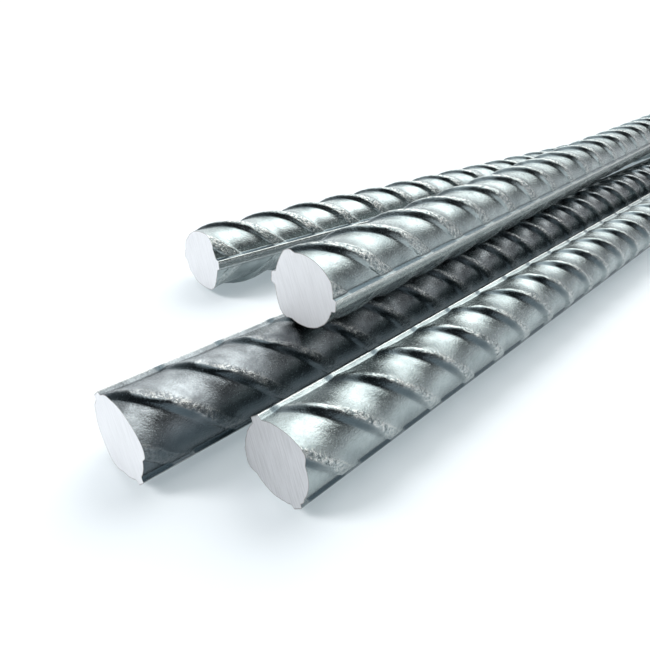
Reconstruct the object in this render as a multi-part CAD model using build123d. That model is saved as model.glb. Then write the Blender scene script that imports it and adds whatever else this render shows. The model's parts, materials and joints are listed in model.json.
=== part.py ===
"""Loose bundle of four ribbed reinforcing bars: three on the floor, one across the top of them.

Frame: +X along the left bar, from its sawn near end to its far end, +Z up,
origin at the middle of the bundle's underside.
"""
import os
from math import asin, atan2, cos, degrees, hypot, radians, sin, tan

from build123d import *

# Bar stock, in millimetres
bar_diameter = 32.0
bar_length = 1000.0

# Longitudinal ribs: two flat-topped ones, opposite each other, along the whole bar
rib_height = 1.1
rib_top_width = 4.4
rib_flank_angle = 35.0

# What stays clear where the top bar lies on a bar, and where two bars lie side by side
seat_clearance = 0.3
side_clearance = 0.4

# Right bar: its near end is set back from the left bar's, with a gap beside it that closes at the far end
right_set_back = 33.0
right_near_gap = 9.7

# Back bar: set back further, and wider apart at the near end
back_set_back = 98.7
back_near_gap = 59.5

# Top bar: crosses the left bar near its own near end, and the back bar far down it
top_near_overhang = 64.0
left_crossing = 142.0
back_crossing = 806.0

# How far each bar is rolled about its own axis, from its right hand upwards to the near longitudinal rib
left_roll = -41.0
right_roll = -46.0
back_roll = 13.0
top_roll = 2.2

bar_radius = bar_diameter / 2
bar_to_bar_distance = bar_diameter + side_clearance
rib_to_bar_distance = bar_diameter + rib_height + side_clearance
top_height = bar_radius + bar_diameter + seat_clearance


def bar_section():
    """Round bar with its two longitudinal ribs, standing on +Y and -Y of the section."""
    buried = rib_height
    flare = (rib_height + buried) * tan(radians(rib_flank_angle))
    half_top = rib_top_width / 2
    crest = bar_radius + rib_height
    root = bar_radius - buried
    section = Circle(bar_radius)
    for side in (1, -1):
        corners = [
            (half_top, side * crest),
            (-half_top, side * crest),
            (-half_top - flare, side * root),
            (half_top + flare, side * root),
        ]
        section += make_face(Polyline(*corners, close=True))
    return section


def laid_bar(start, heading, roll):
    """Bar with its near end's centre at start, pointing along heading degrees from +X towards +Y."""
    along = Vector(cos(radians(heading)), sin(radians(heading)), 0)
    right = Vector(sin(radians(heading)), -cos(radians(heading)), 0)
    near_rib = right * cos(radians(roll)) + Vector(0, 0, sin(radians(roll)))
    end_plane = Plane(origin=start, x_dir=near_rib.cross(along), z_dir=along)
    return extrude(end_plane * bar_section(), bar_length)


def closing_angle(set_back, near_gap, side_distance):
    """Angle at which a bar beside the left bar is side_distance from it, axis to axis, at its far end."""
    near_distance = bar_diameter + near_gap
    run = bar_length - set_back
    to_far_end = hypot(near_distance, run)
    return degrees(atan2(near_distance, run) - asin(side_distance / to_far_end))


def left_bar():
    """Bar along +X, which the others are placed from."""
    return laid_bar(Vector(0, 0, bar_radius), 0, left_roll)


def right_bar():
    """Bar beside the left one, which comes to lie against it at the far end."""
    start = Vector(right_set_back, -(bar_diameter + right_near_gap), bar_radius)
    heading = closing_angle(right_set_back, right_near_gap, bar_to_bar_distance)
    return laid_bar(start, heading, right_roll)


def back_bar_line():
    """Near end and heading of the back bar, whose longitudinal rib comes to lie against the left bar."""
    start = Vector(back_set_back, bar_diameter + back_near_gap, bar_radius)
    return start, -closing_angle(back_set_back, back_near_gap, rib_to_bar_distance)


def back_bar():
    """Bar on the other side of the left one, wide apart from it at the near end."""
    start, heading = back_bar_line()
    return laid_bar(start, heading, back_roll)


def top_bar():
    """Level bar that lies on the left bar and on the back bar, where it crosses them."""
    start, heading = back_bar_line()
    over_left = Vector(left_crossing, 0, top_height)
    over_back = Vector(
        start.X + back_crossing * cos(radians(heading)),
        start.Y + back_crossing * sin(radians(heading)),
        top_height,
    )
    along = (over_back - over_left).normalized()
    near_end = over_left - along * top_near_overhang
    return laid_bar(near_end, degrees(atan2(along.Y, along.X)), top_roll)


bars = {
    "left_bar": left_bar(),
    "right_bar": right_bar(),
    "back_bar": back_bar(),
    "top_bar": top_bar(),
}

bundle_middle = Compound(list(bars.values())).bounding_box().center()
to_origin = Pos(-bundle_middle.X, -bundle_middle.Y, 0)

os.makedirs("parts", exist_ok=True)
for name, bar in bars.items():
    placed = to_origin * bar
    placed.label = name
    export_step(placed, f"parts/{name}.step")
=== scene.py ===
"""Looks of a loose bundle of ribbed reinforcing bars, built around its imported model."""
import json
import math

import bmesh
import bpy
from mathutils import Matrix, Vector, noise


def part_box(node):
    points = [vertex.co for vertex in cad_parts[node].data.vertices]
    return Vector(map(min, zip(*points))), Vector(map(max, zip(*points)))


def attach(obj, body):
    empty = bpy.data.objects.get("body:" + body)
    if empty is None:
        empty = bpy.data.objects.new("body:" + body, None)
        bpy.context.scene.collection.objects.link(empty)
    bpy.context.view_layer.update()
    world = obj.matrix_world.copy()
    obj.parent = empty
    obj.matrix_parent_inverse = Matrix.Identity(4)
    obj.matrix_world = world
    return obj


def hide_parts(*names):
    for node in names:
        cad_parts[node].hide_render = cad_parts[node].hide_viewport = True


bl_info = {
    "name": "Rebar bundle",
    "version": (1, 0, 0),
    "blender": (4, 5, 0),
    "location": "3D View > Sidebar > Rebar",
    "description": "Ribbed reinforcing bars with sawn ends, on a pale studio floor",
    "category": "Object",
}

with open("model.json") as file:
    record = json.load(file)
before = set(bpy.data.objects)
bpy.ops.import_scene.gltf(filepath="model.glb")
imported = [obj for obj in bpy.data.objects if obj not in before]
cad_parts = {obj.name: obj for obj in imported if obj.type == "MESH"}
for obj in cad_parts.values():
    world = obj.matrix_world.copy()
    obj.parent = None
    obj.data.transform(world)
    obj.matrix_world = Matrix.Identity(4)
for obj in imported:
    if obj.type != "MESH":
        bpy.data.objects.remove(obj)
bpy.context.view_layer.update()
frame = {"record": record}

MM = 0.001

# The near end's centre of each bar and the way it faces are mounts of the record
END_MOUNTS = {mount["name"]: mount for mount in frame["record"]["mounts"]}

# roll is of the near longitudinal rib above the bar's right hand, in degrees. first_rib is how far from the
# sawn near end the first crescent rib's steep foot would meet that longitudinal rib, and rib_spacing how far
# the ribs are apart, in millimetres. skin and end are the bar's finishes, and touches are the bars whose
# ribs would meet its own. The dark skin is a darker copy of the mill scale: painted shade of the top bar.
BARS = [
    {
        "node": "left_bar", "roll": -41.0, "first_rib": 13.6, "rib_spacing": 26.2, "seed": 11,
        "skin": "dark", "end": "fine", "touches": ["right_bar", "top_bar"],
    },
    {
        "node": "right_bar", "roll": -46.0, "first_rib": 23.3, "rib_spacing": 26.4, "seed": 23,
        "skin": "grey", "end": "coarse", "touches": ["left_bar"],
    },
    {
        "node": "back_bar", "roll": 13.0, "first_rib": 9.2, "rib_spacing": 29.6, "seed": 37,
        "skin": "grey", "end": "fine", "touches": ["top_bar"],
    },
    {
        "node": "top_bar", "roll": 2.2, "first_rib": 2.4, "rib_spacing": 29.6, "seed": 51,
        "skin": "grey", "end": "fine", "touches": ["left_bar", "back_bar"],
    },
]


class RibbedBarSizes(bpy.types.PropertyGroup):
    """Sizes of the rolled section."""

    core_radius: bpy.props.FloatProperty(
        name="Core radius", description="Radius of the round core between the ribs",
        default=15.2 * MM, subtype="DISTANCE", unit="LENGTH",
    )
    crest_height: bpy.props.FloatProperty(
        name="Crest height", description="How far a crescent rib stands out of the core at its middle",
        default=2.2 * MM, subtype="DISTANCE", unit="LENGTH",
    )
    end_height: bpy.props.FloatProperty(
        name="Run-out height",
        description="How far a crescent rib stands out where it meets a longitudinal rib",
        default=0.55 * MM, subtype="DISTANCE", unit="LENGTH",
    )
    steep_run: bpy.props.FloatProperty(
        name="Steep flank", description="Run along the bar of the rib's flank on the side of the near end",
        default=4.4 * MM, subtype="DISTANCE", unit="LENGTH",
    )
    rib_advance: bpy.props.FloatProperty(
        name="Rib advance",
        description="How far along the bar a crescent rib would run straight over half the bar",
        default=54.0 * MM, subtype="DISTANCE", unit="LENGTH",
    )
    rib_bend: bpy.props.FloatProperty(
        name="Rib bend", description="How much of that advance is left out towards the far longitudinal rib",
        default=8.0 * MM, subtype="DISTANCE", unit="LENGTH",
    )
    spine_radius: bpy.props.FloatProperty(
        name="Longitudinal rib radius",
        description="From the bar's axis to the flat top of a longitudinal rib",
        default=17.1 * MM, subtype="DISTANCE", unit="LENGTH",
    )
    spine_half_width: bpy.props.FloatProperty(
        name="Longitudinal rib half width", description="Half the width of a longitudinal rib's flat top",
        default=2.2 * MM, subtype="DISTANCE", unit="LENGTH",
    )


class RebarColours(bpy.types.PropertyGroup):
    """Colours of the steel and of the floor."""

    scale_light: bpy.props.StringProperty(
        name="Light mill scale", description="Colour of the mill scale where it is thin, as sRGB hex",
        default="#a4adad",
    )
    scale_dark: bpy.props.StringProperty(
        name="Dark mill scale", description="Colour of the mill scale where it is thick, as sRGB hex",
        default="#828c8d",
    )
    # The left bar's colours are a darker copy of the mill scale: painted shade of the top bar lying on it
    shaded_bar_light: bpy.props.StringProperty(
        name="Light scale with painted shade", description="Lightest colour of the bar whose mill scale is darkened as painted shade, as sRGB hex",
        default="#979da0",
    )
    shaded_bar_dark: bpy.props.StringProperty(
        name="Dark scale with painted shade", description="Darkest colour of the bar whose mill scale is darkened as painted shade, as sRGB hex",
        default="#5c6063",
    )
    # This pale colour is also the painted highlight on the longitudinal ribs' edges and the crests' far
    # edges
    crest: bpy.props.StringProperty(
        name="Rubbed steel", description="Colour where edges and crests are rubbed bare, as sRGB hex",
        default="#d2d3d0",
    )
    sawn: bpy.props.StringProperty(
        name="Sawn steel", description="Colour of the sawn end faces, as sRGB hex", default="#e3e5e8",
    )
    # The right bar's sawn end is greyer than the others, with deeper and duller saw marks
    coarse: bpy.props.StringProperty(
        name="Coarsely sawn steel", description="Colour of the roughest sawn end, as sRGB hex",
        default="#c6c8cb",
    )
    # This dark colour is also painted shade on the steep flanks, the longitudinal ribs' walls and one side
    # of the left bar
    oxide_and_shade: bpy.props.StringProperty(
        name="Thick oxide",
        description="Colour of the thick oxide on steep flanks and in pits, as sRGB hex",
        default="#434f55",
    )
    floor: bpy.props.StringProperty(
        name="Floor", description="Colour of the studio floor, as sRGB hex", default="#f6f8fb",
    )


def linear(hex_colour):
    """Linear RGBA of an sRGB hex colour."""
    channels = [int(hex_colour[i:i + 2], 16) / 255 for i in (1, 3, 5)]
    curve = [c / 12.92 if c <= 0.04045 else ((c + 0.055) / 1.055) ** 2.4 for c in channels]
    return (*curve, 1.0)


def add_node(tree, kind, settings=None, links=None):
    """Adds a node; settings are its attributes and socket values, links are {its input: source socket}."""
    node = tree.nodes.new(kind)
    for key, value in (settings or {}).items():
        if isinstance(key, str) and hasattr(node, key):
            setattr(node, key, value)
        else:
            node.inputs[key].default_value = value
    for key, source in (links or {}).items():
        tree.links.new(source, node.inputs[key])
    return node


def bare_material(name):
    material = bpy.data.materials.new(name)
    material.use_nodes = True
    material.node_tree.nodes.clear()
    return material, material.node_tree


def ramp(tree, source, low, high):
    """Clamped linear rise from 0 at low to 1 at high, or fall where low is the larger."""
    settings = {"From Min": low, "From Max": high}
    return add_node(tree, "ShaderNodeMapRange", settings, {"Value": source}).outputs["Result"]


def grain_of(tree, coords, size, detail, roughness):
    """Noise whose coarsest features are about this size."""
    settings = {"Scale": 1 / size, "Detail": detail, "Roughness": roughness}
    return add_node(tree, "ShaderNodeTexNoise", settings, {"Vector": coords}).outputs["Fac"]


def attribute(tree, name):
    """A value that the mesh holds at each of its points."""
    return add_node(tree, "ShaderNodeAttribute", {"attribute_name": name}).outputs["Fac"]


def combine(tree, operation, first, second):
    """Product, maximum or the like of two values."""
    return add_node(tree, "ShaderNodeMath", {"operation": operation}, {0: first, 1: second}).outputs["Value"]


def blend(tree, share, colours, links=None):
    """Mix of two colours by a share of the second; 6 is the first colour and 7 the second."""
    settings = {"data_type": "RGBA", **colours}
    return add_node(tree, "ShaderNodeMix", settings, {0: share, **(links or {})}).outputs[2]


# Sizes of what shows in the mill scale: its grain, its cloudy patches, and the pits of the crests
GRAIN_SIZE = 0.8 * MM
CLOUD_SIZE = 15 * MM
PIT_SIZE = 1.5 * MM
# Heights of the pits' noise over which a crest turns into a rubbed high spot, and into a pit full of oxide
HIGH_SPOT = (0.46, 0.58)
PIT = (0.44, 0.36)
# How deep the bump of the grain and of the pits is
GRAIN_DEPTH = 0.22 * MM
PIT_DEPTH = 0.9 * MM


def mill_scale_material(name, light, dark, colours):
    """Hot-rolled steel under blue-grey mill scale: satin, finely grained and pitted on the rib crests."""
    material, tree = bare_material(name)
    coords = add_node(tree, "ShaderNodeTexCoord").outputs["Object"]
    crest = attribute(tree, "crest")
    grain = grain_of(tree, coords, GRAIN_SIZE, 4.0, 0.7)
    clouds = grain_of(tree, coords, CLOUD_SIZE, 5.0, 0.6)
    pits = grain_of(tree, coords, PIT_SIZE, 4.0, 0.7)
    tone = blend(tree, ramp(tree, clouds, 0.35, 0.65), {6: linear(dark), 7: linear(light)})
    # The high spots of the pitted crests are rubbed bare; the long edges and the crests' far edges get a
    # painted highlight in the same pale colour
    high_spots = combine(tree, "MULTIPLY", crest, ramp(tree, pits, *HIGH_SPOT))
    bare_and_highlight = combine(tree, "MAXIMUM", attribute(tree, "painted_highlight"), high_spots)
    worn_and_highlit = blend(tree, bare_and_highlight, {7: linear(colours.crest)}, {6: tone})
    # Thick dull oxide in the pits and partly on the ribs' steep flanks; the same dark colour is painted
    # shade on those flanks, on the longitudinal ribs' walls and down one side of the dark bar
    in_pits = combine(tree, "MULTIPLY", crest, ramp(tree, pits, *PIT))
    thick = combine(tree, "MAXIMUM", attribute(tree, "oxide_and_shade"), in_pits)
    skin = blend(tree, thick, {7: linear(colours.oxide_and_shade)}, {6: worn_and_highlit})
    roughness = add_node(
        tree, "ShaderNodeMapRange", {"From Min": 0.3, "From Max": 0.7, "To Min": 0.17, "To Max": 0.3},
        {"Value": grain},
    ).outputs["Result"]
    fine = add_node(
        tree, "ShaderNodeBump", {"Strength": 0.8, "Distance": GRAIN_DEPTH}, {"Height": grain},
    ).outputs["Normal"]
    crest_strength = add_node(
        tree, "ShaderNodeMath", {"operation": "MULTIPLY", 1: 0.9}, {0: crest},
    ).outputs["Value"]
    pitted = add_node(
        tree, "ShaderNodeBump", {"Distance": PIT_DEPTH},
        {"Strength": crest_strength, "Height": pits, "Normal": fine},
    ).outputs["Normal"]
    shader = add_node(
        tree, "ShaderNodeBsdfPrincipled", {"Metallic": 1.0},
        {"Base Color": skin, "Roughness": roughness, "Normal": pitted},
    )
    add_node(tree, "ShaderNodeOutputMaterial", links={"Surface": shader.outputs["BSDF"]})
    return material


# The saw's lines slant down across the end, are drawn out to many times their width and are about 1 mm apart
SAW_SLANT = math.radians(-28)
SAW_DRAWN_OUT = 18.0
SAW_LINE_SIZE = 0.7 * MM
SPECK_SIZE = 2.2 * MM
SPECK_DEPTH = 0.12 * MM
# What the burnt rim keeps of the steel's red, green and blue
BURNT = (0.4, 0.37, 0.35)


def sawn_steel_material(name, hex_colour, depth, dulled):
    """Freshly sawn bare steel: pale and matte, with straight saw marks this deep and this much duller."""
    material, tree = bare_material(name)
    coords = add_node(tree, "ShaderNodeTexCoord").outputs["Object"]
    turned = add_node(
        tree, "ShaderNodeMapping",
        {"vector_type": "TEXTURE", "Rotation": (SAW_SLANT, 0, 0), "Scale": (1.0, 1.0, SAW_DRAWN_OUT)},
        {"Vector": coords},
    ).outputs["Vector"]
    marks = grain_of(tree, turned, SAW_LINE_SIZE, 5.0, 0.7)
    specks = grain_of(tree, coords, SPECK_SIZE, 6.0, 0.7)
    bright = linear(hex_colour)
    dull = [channel * (1 - dulled) for channel in bright[:3]] + [1.0]
    tone = blend(tree, ramp(tree, marks, 0.38, 0.56), {6: dull, 7: bright})
    # The saw burnt the rim a little
    burnt = [channel * kept for channel, kept in zip(bright, BURNT)] + [1.0]
    tone = blend(tree, ramp(tree, attribute(tree, "rim"), 0.25, 0.9), {7: burnt}, {6: tone})
    lines = add_node(
        tree, "ShaderNodeBump", {"Strength": 0.5, "Distance": depth}, {"Height": marks},
    ).outputs["Normal"]
    bump = add_node(
        tree, "ShaderNodeBump", {"Strength": 0.3, "Distance": SPECK_DEPTH},
        {"Height": specks, "Normal": lines},
    ).outputs["Normal"]
    shader = add_node(
        tree, "ShaderNodeBsdfPrincipled", {"Metallic": 0.3, "Roughness": 0.6},
        {"Base Color": tone, "Normal": bump},
    )
    add_node(tree, "ShaderNodeOutputMaterial", links={"Surface": shader.outputs["BSDF"]})
    return material


# Light that shines through the paper from below, and its share where the floor is seen or mirrored
FLOOR_GLOW = (0.8, 0.93, 0.99, 1.0)
FLOOR_GLOW_STRENGTH = 1.05
FLOOR_GLOW_SHARE = 0.33


def studio_floor_material(colours):
    """Matte white studio paper, lit from below too, so that it shows white and its shadows stay light."""
    material, tree = bare_material("studio_paper")
    paper = add_node(
        tree, "ShaderNodeBsdfPrincipled",
        {"Base Color": linear(colours.floor), "Roughness": 0.9, "Specular IOR Level": 0.1},
    )
    glow = add_node(tree, "ShaderNodeEmission", {"Color": FLOOR_GLOW, "Strength": FLOOR_GLOW_STRENGTH})
    path = add_node(tree, "ShaderNodeLightPath").outputs
    seen = path["Is Camera Ray"]
    for ray in ("Is Glossy Ray", "Is Transmission Ray"):
        seen = combine(tree, "MAXIMUM", seen, path[ray])
    share = add_node(
        tree, "ShaderNodeMath", {"operation": "MULTIPLY", 1: FLOOR_GLOW_SHARE}, {0: seen},
    ).outputs["Value"]
    both = add_node(
        tree, "ShaderNodeMixShader",
        links={0: share, 1: paper.outputs["BSDF"], 2: glow.outputs["Emission"]},
    )
    add_node(tree, "ShaderNodeOutputMaterial", links={"Surface": both.outputs["Shader"]})
    return material


def spine_profile(sizes):
    """Half of a longitudinal rib's outline, from its flat top's middle down to the core, as (out, aside).

    The edge of the flat top is rounded, the wall leans out a little, and its foot is filleted.
    """
    top = sizes.spine_radius
    half = sizes.spine_half_width
    core = sizes.core_radius
    wall = half + 0.45 * MM
    foot = half + 1.1 * MM
    return [
        (top, 0.0),
        (top, 0.55 * half),
        (top, half - 0.3 * MM),
        (top - 0.12 * MM, half + 0.02 * MM),
        (top - 0.5 * MM, half + 0.2 * MM),
        (core + 0.5 * MM, wall),
        (math.sqrt(core**2 - wall**2) + 0.22 * MM, wall + 0.25 * MM),
        (math.sqrt(core**2 - foot**2), foot),
    ]


def ring_stations(sizes, row_steps):
    """Stations round the bar from the near longitudinal rib, as (angle, radius, share of the row passed).

    row_steps are the steps of the row on the bar's under side and of the row on its upper side.
    """
    half = [(math.atan2(aside, out), math.hypot(out, aside)) for out, aside in spine_profile(sizes)]
    foot = half[-1][0]
    sides = []
    for steps in row_steps:
        side = [(angle, radius, 0.0) for angle, radius in half]
        for step in range(1, steps):
            share = step / steps
            side.append((foot + (math.pi - 2 * foot) * share, sizes.core_radius, share))
        side += [(math.pi - angle, radius, 1.0) for angle, radius in reversed(half)]
        sides.append(side)
    under, upper = sides
    # The two rows share the middle line of each longitudinal rib
    return under + [(2 * math.pi - angle, radius, share) for angle, radius, share in reversed(upper[1:-1])]


# Steps between the longitudinal ribs, on the bar's under side and on its upper side, which shows more
ROW_STEPS = (30, 52)
# Crescent rib along the bar: where each line of points lies, in shares of the steep flank, crest or slope,
# and how high it stands, in shares of the rib's height
STEEP_FLANK = [(0.0, 0.0), (0.16, 0.06), (0.4, 0.34), (0.68, 0.74), (0.9, 0.96)]
CREST = [
    (0.03, 1.0), (0.15, 1.02), (0.3, 1.03), (0.45, 1.02),
    (0.6, 1.02), (0.75, 1.01), (0.88, 0.99), (1.0, 0.95),
]
SLOPE = [(0.07, 0.86), (0.2, 0.68), (0.36, 0.48), (0.54, 0.28), (0.74, 0.12), (1.0, 0.0)]
VALLEY_STEPS = 4
# How much of the thick oxide and painted shade each line of the steep flank has
STEEP_OXIDE_AND_SHADE = (0.3, 0.8, 0.9, 0.85, 0.55)
# Crest and slope at the near longitudinal rib, and how they change, as (how much, from and to which share)
CREST_RUN = 7.4 * MM
CREST_NARROWS = ((4.4 * MM, 0.0, 0.5), (1.2 * MM, 0.5, 0.9))
SLOPE_RUN = 1.5 * MM
SLOPE_WIDENS = (11.0 * MM, 0.03, 0.42)
SLOPE_NARROWS = (3.5 * MM, 0.75, 1.0)
# Share of the steep flank's run that it has at the near longitudinal rib
STEEP_START = 0.36


def between(value, low, high):
    """Smooth rise from 0 at low to 1 at high, or fall where low is the larger."""
    share = min(max((value - low) / (high - low), 0.0), 1.0)
    return share * share * (3 - 2 * share)


def part_of(share, change):
    """How much of a change has come about at this share of the row."""
    amount, start, end = change
    return amount * between(share, start, end)


def rib_lines(sizes, share):
    """Lines of points across a rib at this share of its row, as (place from its steep foot, height)."""
    steep = sizes.steep_run * (STEEP_START + (1 - STEEP_START) * between(share, 0.05, 0.4))
    crest = CREST_RUN - part_of(share, CREST_NARROWS[0]) - part_of(share, CREST_NARROWS[1])
    slope = SLOPE_RUN + part_of(share, SLOPE_WIDENS) - part_of(share, SLOPE_NARROWS)
    lines = [(at * steep, height) for at, height in STEEP_FLANK]
    lines += [(steep + at * crest, height) for at, height in CREST]
    lines += [(steep + crest + at * slope, height) for at, height in SLOPE]
    return lines


def crescent(share, under):
    """Height of a rib along its row, from 0 at the longitudinal ribs to 1 in the middle."""
    start = 0.08 if under else -0.02
    return between(share, start, start + 0.36) * between(share, 1.04, 0.66)


# Where a rib starts to bend, in shares of half the bar, and what is left of its run-out on the under side
BEND_START = 0.55
UNDER_RUN_OUT = 0.6
# Unevenness of the rolled skin, as its size and how far it goes: the crests' wandering edges and pitted
# tops, and the slight waves of the rest; and the size of the patches in which ribs are higher or rougher
EDGE_WANDER = (2.7 * MM, 0.85 * MM)
CREST_PITS = (1.5 * MM, 0.24 * MM)
SKIN_WAVES = (8 * MM, 0.05 * MM)
HEIGHT_PATCH = 14 * MM
ROUGH_PATCH = 5 * MM
# Where the painted shade down one side of the dark bar ends on its upper side, and how much of it there is
PAINTED_SHADE_SPAN = (0.52, 0.22)
PAINTED_SHADE_AMOUNT = 0.85


def rib_shape(sizes, bar, ring, line, ribs):
    """Place along the bar of a point of the skin, and its height there in shares of the rib's."""
    angle, _, share = ring
    rib, step = ribs[line]
    spacing = bar["rib_spacing"] * MM
    turn = angle / math.pi if angle < math.pi else 2 - angle / math.pi
    bend = max(0.0, (turn - BEND_START) / (1 - BEND_START)) ** 2
    foot = bar["first_rib"] * MM + rib * spacing - sizes.rib_advance * turn + sizes.rib_bend * bend
    here = rib_lines(sizes, share)
    if step < len(here):
        return foot + here[step][0], here[step][1]
    shift = (step - len(here) + 1) / (VALLEY_STEPS + 1)
    return foot + here[-1][0] + (spacing - here[-1][0]) * shift, 0.0


def bar_point(sizes, bar, ring, line, ribs):
    """Place of a skin point in the bar's own axes, and how much it is crest, oxide with painted shade, and
    painted highlight.
    """
    angle, radius, share = ring
    step = ribs[line][1]
    under = angle < math.pi
    along, height = rib_shape(sizes, bar, ring, line, ribs)
    crest = max(0.0, height - 0.8) / 0.2
    seed = Vector((bar["seed"], 5.0 * under, 0.0))
    on_skin = Vector((along, radius * math.cos(angle), radius * math.sin(angle)))
    # The crest's edges wander and its top is pitted, because the roll's groove didn't fill evenly
    along += noise.noise(on_skin / EDGE_WANDER[0] + seed) * EDGE_WANDER[1] * min(1.0, height)
    uneven = 1.0 + 0.1 * noise.noise(on_skin / HEIGHT_PATCH + seed)
    run_out = sizes.end_height * (UNDER_RUN_OUT if under else 1.0)
    rib_height = (run_out + (sizes.crest_height - run_out) * crescent(share, under)) * uneven
    skin = sizes.core_radius + rib_height * height
    on_spine = radius > skin
    out = max(radius, skin)
    if on_spine:
        crest = 0.0
    else:
        out += noise.noise(on_skin / CREST_PITS[0] + seed) * CREST_PITS[1] * min(1.0, crest)
        out += noise.noise(on_skin / SKIN_WAVES[0] - seed) * SKIN_WAVES[1]
    # The rough part of a crest is widest near the near longitudinal rib and dies out towards the other one
    crest = min(1.0, crest) * (1.0 - 0.8 * between(share, 0.5, 0.85))
    crest *= 0.75 + 0.5 * noise.noise(on_skin / ROUGH_PATCH + seed)
    if under:
        crest *= 0.5
    # Thick oxide with painted shade on the steep flanks, and painted shade on the longitudinal ribs' walls
    # and down one side of the dark bar
    flank = STEEP_OXIDE_AND_SHADE[step] * between(share, 0.18, 0.46) if step < len(STEEP_OXIDE_AND_SHADE) else 0.0
    on_wall = sizes.core_radius + 0.1 * MM < radius < sizes.spine_radius - 0.1 * MM
    far_spine = share == 1.0 and not under
    wall = (0.15 if far_spine else 1.0 - 0.35 * min(1.0, height)) if on_wall else 0.0
    # Painted shade down one side of the dark bar, as the top bar lies on it
    in_painted_shade = bar["skin"] == "dark" and not under and not on_spine
    painted_shade = PAINTED_SHADE_AMOUNT * between(share, *PAINTED_SHADE_SPAN) if in_painted_shade else 0.0
    oxide_and_shade = max(flank * (0.25 if under else 1.0), wall, painted_shade)
    # Painted highlight: the long edges of a longitudinal rib, brighter on the upper side, and a crescent
    # rib's far edge near them
    edge = sizes.spine_radius + 0.015 * MM < radius < sizes.spine_radius + 0.2 * MM
    far_edge = step == len(STEEP_FLANK) + len(CREST) - 1 and share < 0.4
    painted_highlight = (0.3 if under else 0.85) if edge else 0.6 * far_edge
    return along, angle, out, crest, oxide_and_shade, painted_highlight


def bar_axes(node, roll):
    """Matrix from the bar's own axes, X along it and Y out to the near longitudinal rib, to the frame."""
    mount = END_MOUNTS[node + "_end"]
    along = -Vector(mount["axis"]).normalized()
    right = along.cross(Vector((0, 0, 1))).normalized()
    up = right.cross(along)
    rib = right * math.cos(roll) + up * math.sin(roll)
    across = along.cross(rib)
    turn = Matrix((along, rib, across)).transposed().to_4x4()
    return Matrix.Translation(Vector(mount["pos_m"])) @ turn


def neighbour_axes(bar, own_axes):
    """Axes of the bars that a bar touches, in its own axes, as (near end, direction)."""
    to_own = own_axes.inverted()
    mounts = [END_MOUNTS[node + "_end"] for node in bar["touches"]]
    return [(to_own @ Vector(mount["pos_m"]), to_own.to_3x3() @ -Vector(mount["axis"])) for mount in mounts]


# Left clear between two bars that bear on each other
TOUCH_GAP = 0.15 * MM


def press_clear(vert, neighbours):
    """Presses a rib's crest flat where the bar bears on another one, so that the two meet halfway."""
    for near_end, direction in neighbours:
        own = math.hypot(vert.co.y, vert.co.z)
        past_middle = own + TOUCH_GAP - (vert.co - near_end).cross(direction).length
        if past_middle > 0.0:
            share = 1.0 - past_middle / 2 / own
            vert.co = (vert.co.x, vert.co.y * share, vert.co.z * share)


def bar_length():
    low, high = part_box("left_bar")
    return high.x - low.x


# Where the dark rim of a sawn end stops, as a share of the way out from the axis
RIM_SHARE = 0.965
# Points of the rim nearer to each other than this become one
RIM_MERGE = 0.03 * MM
ON_PLANE = 0.001 * MM
# The burr: its size, how far it sticks out, and how far down the end it is full
BURR_SIZE = 1.1 * MM
BURR_OUT = 0.5 * MM
BURR_FULL = 12 * MM


def cut_end(bm, place, outward, seed):
    """Saws the bar off square, raises a small burr on the low side of the rim and closes the cut."""
    geometry = bm.verts[:] + bm.edges[:] + bm.faces[:]
    cut = bmesh.ops.bisect_plane(
        bm, geom=geometry, dist=1e-7, plane_co=(place, 0, 0), plane_no=(outward, 0, 0), clear_outer=True,
    )
    on_cut = [item for item in cut["geom_cut"] if isinstance(item, bmesh.types.BMVert)]
    bmesh.ops.remove_doubles(bm, verts=on_cut, dist=RIM_MERGE)
    rim = [
        edge for edge in bm.edges
        if edge.is_boundary and all(abs(vert.co.x - place) < ON_PLANE for vert in edge.verts)
    ]
    for vert in {vert for edge in rim for vert in edge.verts}:
        out = Vector((0, vert.co.y, vert.co.z))
        burr = max(0.0, noise.noise(out / BURR_SIZE + Vector((seed, outward, 0)))) * BURR_OUT
        vert.co += out.normalized() * burr * between(vert.co.z, 0.0, BURR_FULL)
    for edge in rim:
        edge.smooth = False
    # A narrow band along the rim, darker at its outer edge, and the flat of the cut inside it
    rim_layer = bm.verts.layers.float["rim"]
    whole = bmesh.ops.edgeloop_fill(bm, edges=rim)["faces"]
    outer = {vert for face in whole for vert in face.verts}
    flat = bmesh.ops.extrude_discrete_faces(bm, faces=whole)["faces"]
    inner = {vert for face in flat for vert in face.verts}
    bmesh.ops.scale(bm, verts=list(inner), vec=(1.0, RIM_SHARE, RIM_SHARE))
    for face in {face for vert in inner for face in vert.link_faces}:
        face.material_index = 1
        face.smooth = False
    for vert in outer:
        vert[rim_layer] = 1.0
    for vert in inner:
        vert[rim_layer] = 0.0


# Ribs that start before the sawn near end and still cross the bar beyond it
RIBS_BEFORE_END = 2
# Points of the bar's closing seam nearer to each other than this become one
SEAM_MERGE = 0.001 * MM


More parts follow.
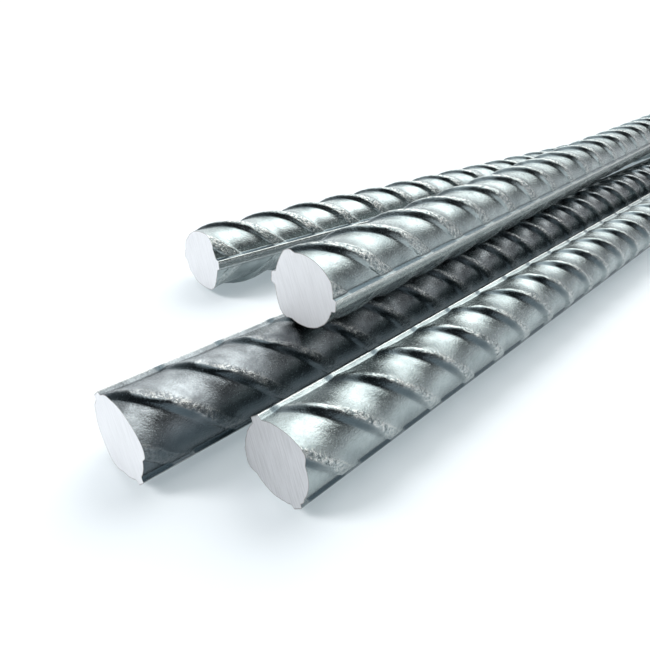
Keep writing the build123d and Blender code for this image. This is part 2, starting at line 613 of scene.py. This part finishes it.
def ribbed_bar_mesh(name, bar, sizes):
    """One rolled bar: a grid wrapped round the axis, whose lines follow the ribs, sawn off at both ends."""
    length = bar_length()
    ring = ring_stations(sizes, ROW_STEPS)
    steps = len(STEEP_FLANK) + len(CREST) + len(SLOPE) + VALLEY_STEPS
    last = math.ceil((length + sizes.rib_advance) / (bar["rib_spacing"] * MM)) + 1
    ribs = [(rib, step) for rib in range(-RIBS_BEFORE_END, last) for step in range(steps)]
    bm = bmesh.new()
    crest_layer, oxide_and_shade_layer, painted_highlight_layer, _ = [
        bm.verts.layers.float.new(layer) for layer in ("crest", "oxide_and_shade", "painted_highlight", "rim")
    ]
    own_axes = bar_axes(bar["node"], math.radians(bar["roll"]))
    neighbours = neighbour_axes(bar, own_axes)
    columns = len(ribs) - 1
    rows = len(ring)
    bmesh.ops.create_grid(bm, x_segments=columns, y_segments=rows, size=1.0)
    for vert in bm.verts:
        line = round((vert.co.x + 1) / 2 * columns)
        station = round((vert.co.y + 1) / 2 * rows)
        along, angle, out, crest, oxide_and_shade, painted_highlight = bar_point(sizes, bar, ring[station % rows], line, ribs)
        vert.co = (along, out * math.cos(angle), out * math.sin(angle))
        press_clear(vert, neighbours)
        vert[crest_layer] = crest
        vert[oxide_and_shade_layer] = oxide_and_shade
        vert[painted_highlight_layer] = painted_highlight
    bmesh.ops.remove_doubles(bm, verts=bm.verts[:], dist=SEAM_MERGE)
    bmesh.ops.recalc_face_normals(bm, faces=bm.faces[:])
    for face in bm.faces:
        face.smooth = True
    cut_end(bm, 0.0, -1, bar["seed"])
    cut_end(bm, length, 1, bar["seed"])
    bmesh.ops.recalc_face_normals(bm, faces=bm.faces[:])
    bm.transform(own_axes)
    mesh = bpy.data.meshes.new(name)
    bm.to_mesh(mesh)
    bm.free()
    return mesh


def show(name, mesh, materials):
    """Links a mesh as an object at the origin."""
    piece = bpy.data.objects.new(name, mesh)
    for material in materials:
        mesh.materials.append(material)
    bpy.context.scene.collection.objects.link(piece)
    return piece


# How deep the saw marks are and how much duller, on the fine ends and on the coarse one
FINE_MARKS = (0.06 * MM, 0.08)
COARSE_MARKS = (0.2 * MM, 0.16)


class REBAR_OT_bars(bpy.types.Operator):
    """Builds the ribbed bars over the model's plain ones"""

    bl_idname = "rebar.bars"
    bl_label = "Ribbed bars"

    def execute(self, context):
        sizes = context.scene.rebar_sizes
        colours = context.scene.rebar_colours
        grey = mill_scale_material("hot_rolled_mill_scale", colours.scale_light, colours.scale_dark, colours)
        # The dark bar's mill scale is a darker copy: painted shade of the top bar lying on it
        dark = mill_scale_material("painted_shade_mill_scale", colours.shaded_bar_light, colours.shaded_bar_dark, colours)
        fine = sawn_steel_material("sawn_bare_steel", colours.sawn, *FINE_MARKS)
        coarse = sawn_steel_material("coarsely_sawn_bare_steel", colours.coarse, *COARSE_MARKS)
        finishes = {"grey": grey, "dark": dark, "fine": fine, "coarse": coarse}
        for bar in BARS:
            mesh = ribbed_bar_mesh("ribbed_" + bar["node"], bar, sizes)
            piece = show(mesh.name, mesh, [finishes[bar["skin"]], finishes[bar["end"]]])
            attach(piece, "root")
            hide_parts(bar["node"])
        return {"FINISHED"}


# Camera, placed from the left bar's near end along the bar, to its left and up, in millimetres
CAMERA_PLACE = (-63.44, -137.21, 142.08)
CAMERA_HEADING = math.radians(40.352)
CAMERA_DOWN = math.radians(32.511)
CAMERA_ROLL = math.radians(7.175)
CAMERA_LENS = 31.938
SENSOR_WIDTH = 36
# Nearest and farthest that the camera sees, in metres
CAMERA_REACH = (0.01, 200)
# The crescent ribs reach this far below the plain bars, so the floor lies this much lower
FLOOR_DROP = 1.65 * MM
FLOOR_RADIUS = 60.0
FLOOR_SEGMENTS = 64
# Where the studio's lights and its dark side are, as azimuth from +X towards +Y and elevation, in degrees
SOFTBOX_AT = (12, 49)
FILL_AT = (46, 24)
DARK_SIDE_AT = (290, 25)
SIDE_LAMP_AT = (150, 40)
# Cosines of the angle from there at which each starts and is full
SOFTBOX_EDGE = (0.83, 0.96)
FILL_EDGE = (0.82, 0.97)
DARK_SIDE_EDGE = (-0.5, 0.4)
# Heights between which the pale walls fade, as sines of the elevation
HORIZON_EDGE = (0.17, 0.4)
SOFTBOX_LIGHT = (4.1, 4.15, 4.1, 1)
FILL_LIGHT = (2.0, 2.05, 2.05, 1)
PALE_WALLS = (0.9, 0.92, 0.95, 1)
DIM_WALLS = (0.3, 0.31, 0.32, 1)
DARK_WALLS = (0.04, 0.043, 0.046, 1)
SIDE_LAMP_STRENGTH = 2.3
SIDE_LAMP_SPREAD = math.radians(20)


def direction_of(azimuth, elevation):
    """Unit vector towards an azimuth from +X towards +Y and an elevation, in degrees."""
    level = math.cos(math.radians(elevation))
    around = math.radians(azimuth)
    return Vector((level * math.cos(around), level * math.sin(around), math.sin(math.radians(elevation))))


def facing(tree, direction, towards, edge):
    """Rise from 0 to 1 as a direction of the world nears the one towards a light."""
    settings = {"operation": "DOT_PRODUCT", 1: direction_of(*towards)}
    cosine = add_node(tree, "ShaderNodeVectorMath", settings, {0: direction}).outputs["Value"]
    return ramp(tree, cosine, *edge)


class REBAR_OT_stage(bpy.types.Operator):
    """Lays the floor and sets the lights and the camera"""

    bl_idname = "rebar.stage"
    bl_label = "Studio"

    def execute(self, context):
        colours = context.scene.rebar_colours
        self.lay_floor(colours)
        self.set_world(context)
        self.set_lamps()
        self.set_camera(context)
        context.scene.view_settings.view_transform = "Standard"
        return {"FINISHED"}

    def lay_floor(self, colours):
        bm = bmesh.new()
        bmesh.ops.create_circle(bm, cap_ends=True, segments=FLOOR_SEGMENTS, radius=FLOOR_RADIUS)
        bmesh.ops.translate(bm, verts=bm.verts[:], vec=(0, 0, -FLOOR_DROP))
        mesh = bpy.data.meshes.new("studio_floor")
        bm.to_mesh(mesh)
        bm.free()
        show("studio_floor", mesh, [studio_floor_material(colours)])

    def set_world(self, context):
        """Studio with pale walls, dim above, and a white softbox and a weaker fill beyond the bundle."""
        world = bpy.data.worlds.new("studio")
        world.use_nodes = True
        tree = world.node_tree
        tree.nodes.clear()
        direction = add_node(tree, "ShaderNodeTexCoord").outputs["Generated"]
        height = add_node(tree, "ShaderNodeSeparateXYZ", links={0: direction}).outputs["Z"]
        dark_side = facing(tree, direction, DARK_SIDE_AT, DARK_SIDE_EDGE)
        dim = blend(tree, dark_side, {6: DIM_WALLS, 7: DARK_WALLS})
        walls = blend(tree, ramp(tree, height, *HORIZON_EDGE), {6: PALE_WALLS}, {7: dim})
        fill = facing(tree, direction, FILL_AT, FILL_EDGE)
        lit_walls = blend(tree, fill, {7: FILL_LIGHT}, {6: walls})
        softbox = facing(tree, direction, SOFTBOX_AT, SOFTBOX_EDGE)
        colour = blend(tree, softbox, {7: SOFTBOX_LIGHT}, {6: lit_walls})
        background = add_node(tree, "ShaderNodeBackground", {"Strength": 1.0}, {"Color": colour})
        add_node(tree, "ShaderNodeOutputWorld", links={"Surface": background.outputs["Background"]})
        context.scene.world = world

    def set_lamps(self):
        """Large soft lamp at the left of the sawn ends."""
        lamp = bpy.data.lights.new("side_softbox", "SUN")
        lamp.energy = SIDE_LAMP_STRENGTH
        lamp.angle = SIDE_LAMP_SPREAD
        softbox = bpy.data.objects.new("side_softbox", lamp)
        softbox.rotation_euler = direction_of(*SIDE_LAMP_AT).to_track_quat("Z", "Y").to_euler()
        # The bars' bright skin mirrors the studio's walls and not this lamp, as behind a polarising filter
        softbox.visible_glossy = False
        bpy.context.scene.collection.objects.link(softbox)

    def set_camera(self, context):
        data = bpy.data.cameras.new("camera")
        data.lens = CAMERA_LENS
        data.sensor_width = SENSOR_WIDTH
        data.clip_start, data.clip_end = CAMERA_REACH
        camera = bpy.data.objects.new("camera", data)
        near_end = Vector(END_MOUNTS["left_bar_end"]["pos_m"])
        heading = Matrix.Rotation(CAMERA_HEADING, 3, "Z")
        forward = heading @ Vector((math.cos(CAMERA_DOWN), 0, -math.sin(CAMERA_DOWN)))
        turn = forward.to_track_quat("-Z", "Y") @ Matrix.Rotation(CAMERA_ROLL, 3, "Z").to_quaternion()
        camera.rotation_euler = turn.to_euler()
        camera.location = near_end + Vector(CAMERA_PLACE) * MM
        context.scene.collection.objects.link(camera)
        context.scene.camera = camera


class REBAR_PT_panel(bpy.types.Panel):
    """Lists the builders of the bundle"""

    bl_label = "Rebar bundle"
    bl_idname = "REBAR_PT_panel"
    bl_space_type = "VIEW_3D"
    bl_region_type = "UI"
    bl_category = "Rebar"

    def draw(self, context):
        for operator in (REBAR_OT_bars, REBAR_OT_stage):
            self.layout.operator(operator.bl_idname)
        for group in (context.scene.rebar_sizes, context.scene.rebar_colours):
            for name in group.__annotations__:
                self.layout.prop(group, name)


CLASSES = (RibbedBarSizes, RebarColours, REBAR_OT_bars, REBAR_OT_stage, REBAR_PT_panel)


def register():
    for cls in CLASSES:
        bpy.utils.register_class(cls)
    bpy.types.Scene.rebar_sizes = bpy.props.PointerProperty(type=RibbedBarSizes)
    bpy.types.Scene.rebar_colours = bpy.props.PointerProperty(type=RebarColours)


def unregister():
    del bpy.types.Scene.rebar_colours
    del bpy.types.Scene.rebar_sizes
    for cls in reversed(CLASSES):
        bpy.utils.unregister_class(cls)


def main():
    register()
    bpy.ops.rebar.bars()
    bpy.ops.rebar.stage()


if __name__ == "__main__":
    main()
